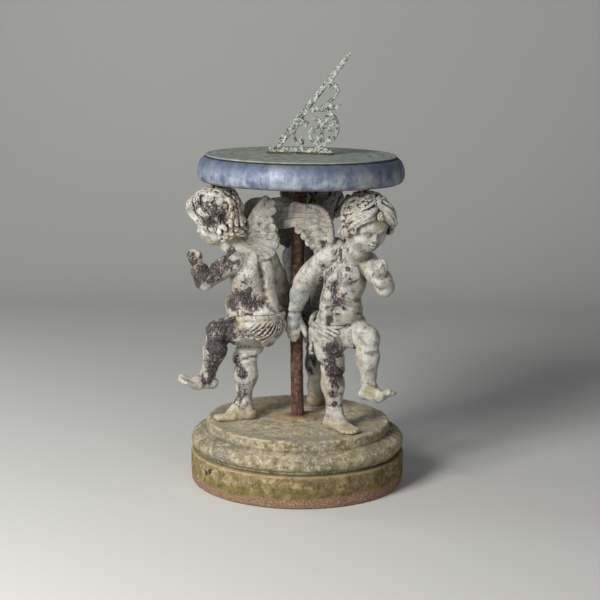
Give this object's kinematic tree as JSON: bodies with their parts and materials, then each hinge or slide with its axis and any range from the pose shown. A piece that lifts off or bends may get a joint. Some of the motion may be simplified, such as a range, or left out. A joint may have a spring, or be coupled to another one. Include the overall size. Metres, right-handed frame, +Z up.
{
  "type": "garden sundial",
  "caption": "Garden sundial: winged lead putti on a round stone base carry a lead-covered table with a turning dial plate and a pierced scrollwork gnomon.",
  "frame": {"origin": "on the vertical axis of the sundial, at the flat underside of the plinth stone", "axes": "+Z up along the centre rod; +X to the right and -Y towards the viewer in the main view; the gnomon's style rises towards +X"},
  "size_m": [0.5436, 0.5499, 1.0341],
  "materials": {
    "plinth_stone": "rough, mossy, lichen stained",
    "base_stone": "weathered, worn, green algae",
    "mortar": "rough cement",
    "rusted_iron": "heavily rusted, pitted",
    "cast_lead": "chalky oxidised surface with dark bare patches",
    "sheet_lead": "dull blue-grey, dented, softly shining",
    "table_core": "rough",
    "dial_bronze": "dull grey-green patina",
    "verdigris_bronze": "pale verdigris over dark metal",
    "brown_bronze": "dark brown patina"
  },
  "bodies": {
    "pedestal": {"base_plinth": "plinth_stone", "base_moulding": "base_stone", "rod_bedding_mortar": "mortar", "centre_rod": "rusted_iron", "rod_top_flange": "rusted_iron", "flange_screw_1": "rusted_iron", "flange_screw_2": "rusted_iron", "flange_screw_3": "rusted_iron", "flange_screw_4": "rusted_iron", "left_putto_body": "cast_lead", "left_putto_head": "cast_lead", "left_putto_left_arm": "cast_lead", "left_putto_right_arm": "cast_lead", "left_putto_raised_leg": "cast_lead", "left_putto_left_wing": "cast_lead", "left_putto_right_wing": "cast_lead", "left_putto_drapery": "cast_lead", "left_putto_foot_dowel": "rusted_iron", "left_putto_head_dowel": "rusted_iron", "right_putto_body": "cast_lead", "right_putto_head": "cast_lead", "right_putto_left_arm": "cast_lead", "right_putto_right_arm": "cast_lead", "right_putto_raised_leg": "cast_lead", "right_putto_left_wing": "cast_lead", "right_putto_right_wing": "cast_lead", "right_putto_drapery": "cast_lead", "right_putto_foot_dowel": "rusted_iron", "right_putto_head_dowel": "rusted_iron", "rear_putto_body": "cast_lead", "rear_putto_head": "cast_lead", "rear_putto_left_arm": "cast_lead", "rear_putto_right_arm": "cast_lead", "rear_putto_raised_leg": "cast_lead", "rear_putto_left_wing": "cast_lead", "rear_putto_right_wing": "cast_lead", "rear_putto_drapery": "cast_lead", "rear_putto_foot_dowel": "rusted_iron", "rear_putto_head_dowel": "rusted_iron", "dial_table_core": "table_core", "dial_table_shell": "sheet_lead", "pivot_pin": "brown_bronze"},
    "dial": {"dial_plate": "dial_bronze", "gnomon_foot_plate": "brown_bronze", "gnomon": "verdigris_bronze", "gnomon_screw_1": "brown_bronze", "gnomon_screw_2": "brown_bronze", "gnomon_screw_3": "brown_bronze", "gnomon_screw_4": "brown_bronze"}
  },
  "joints": [
    {"name": "dial_turn", "type": "hinge", "parent": "pedestal", "child": "dial", "pos_m": [0, 0, 0.7896], "axis": [0, 0, 1], "continuous": true}
  ]
}
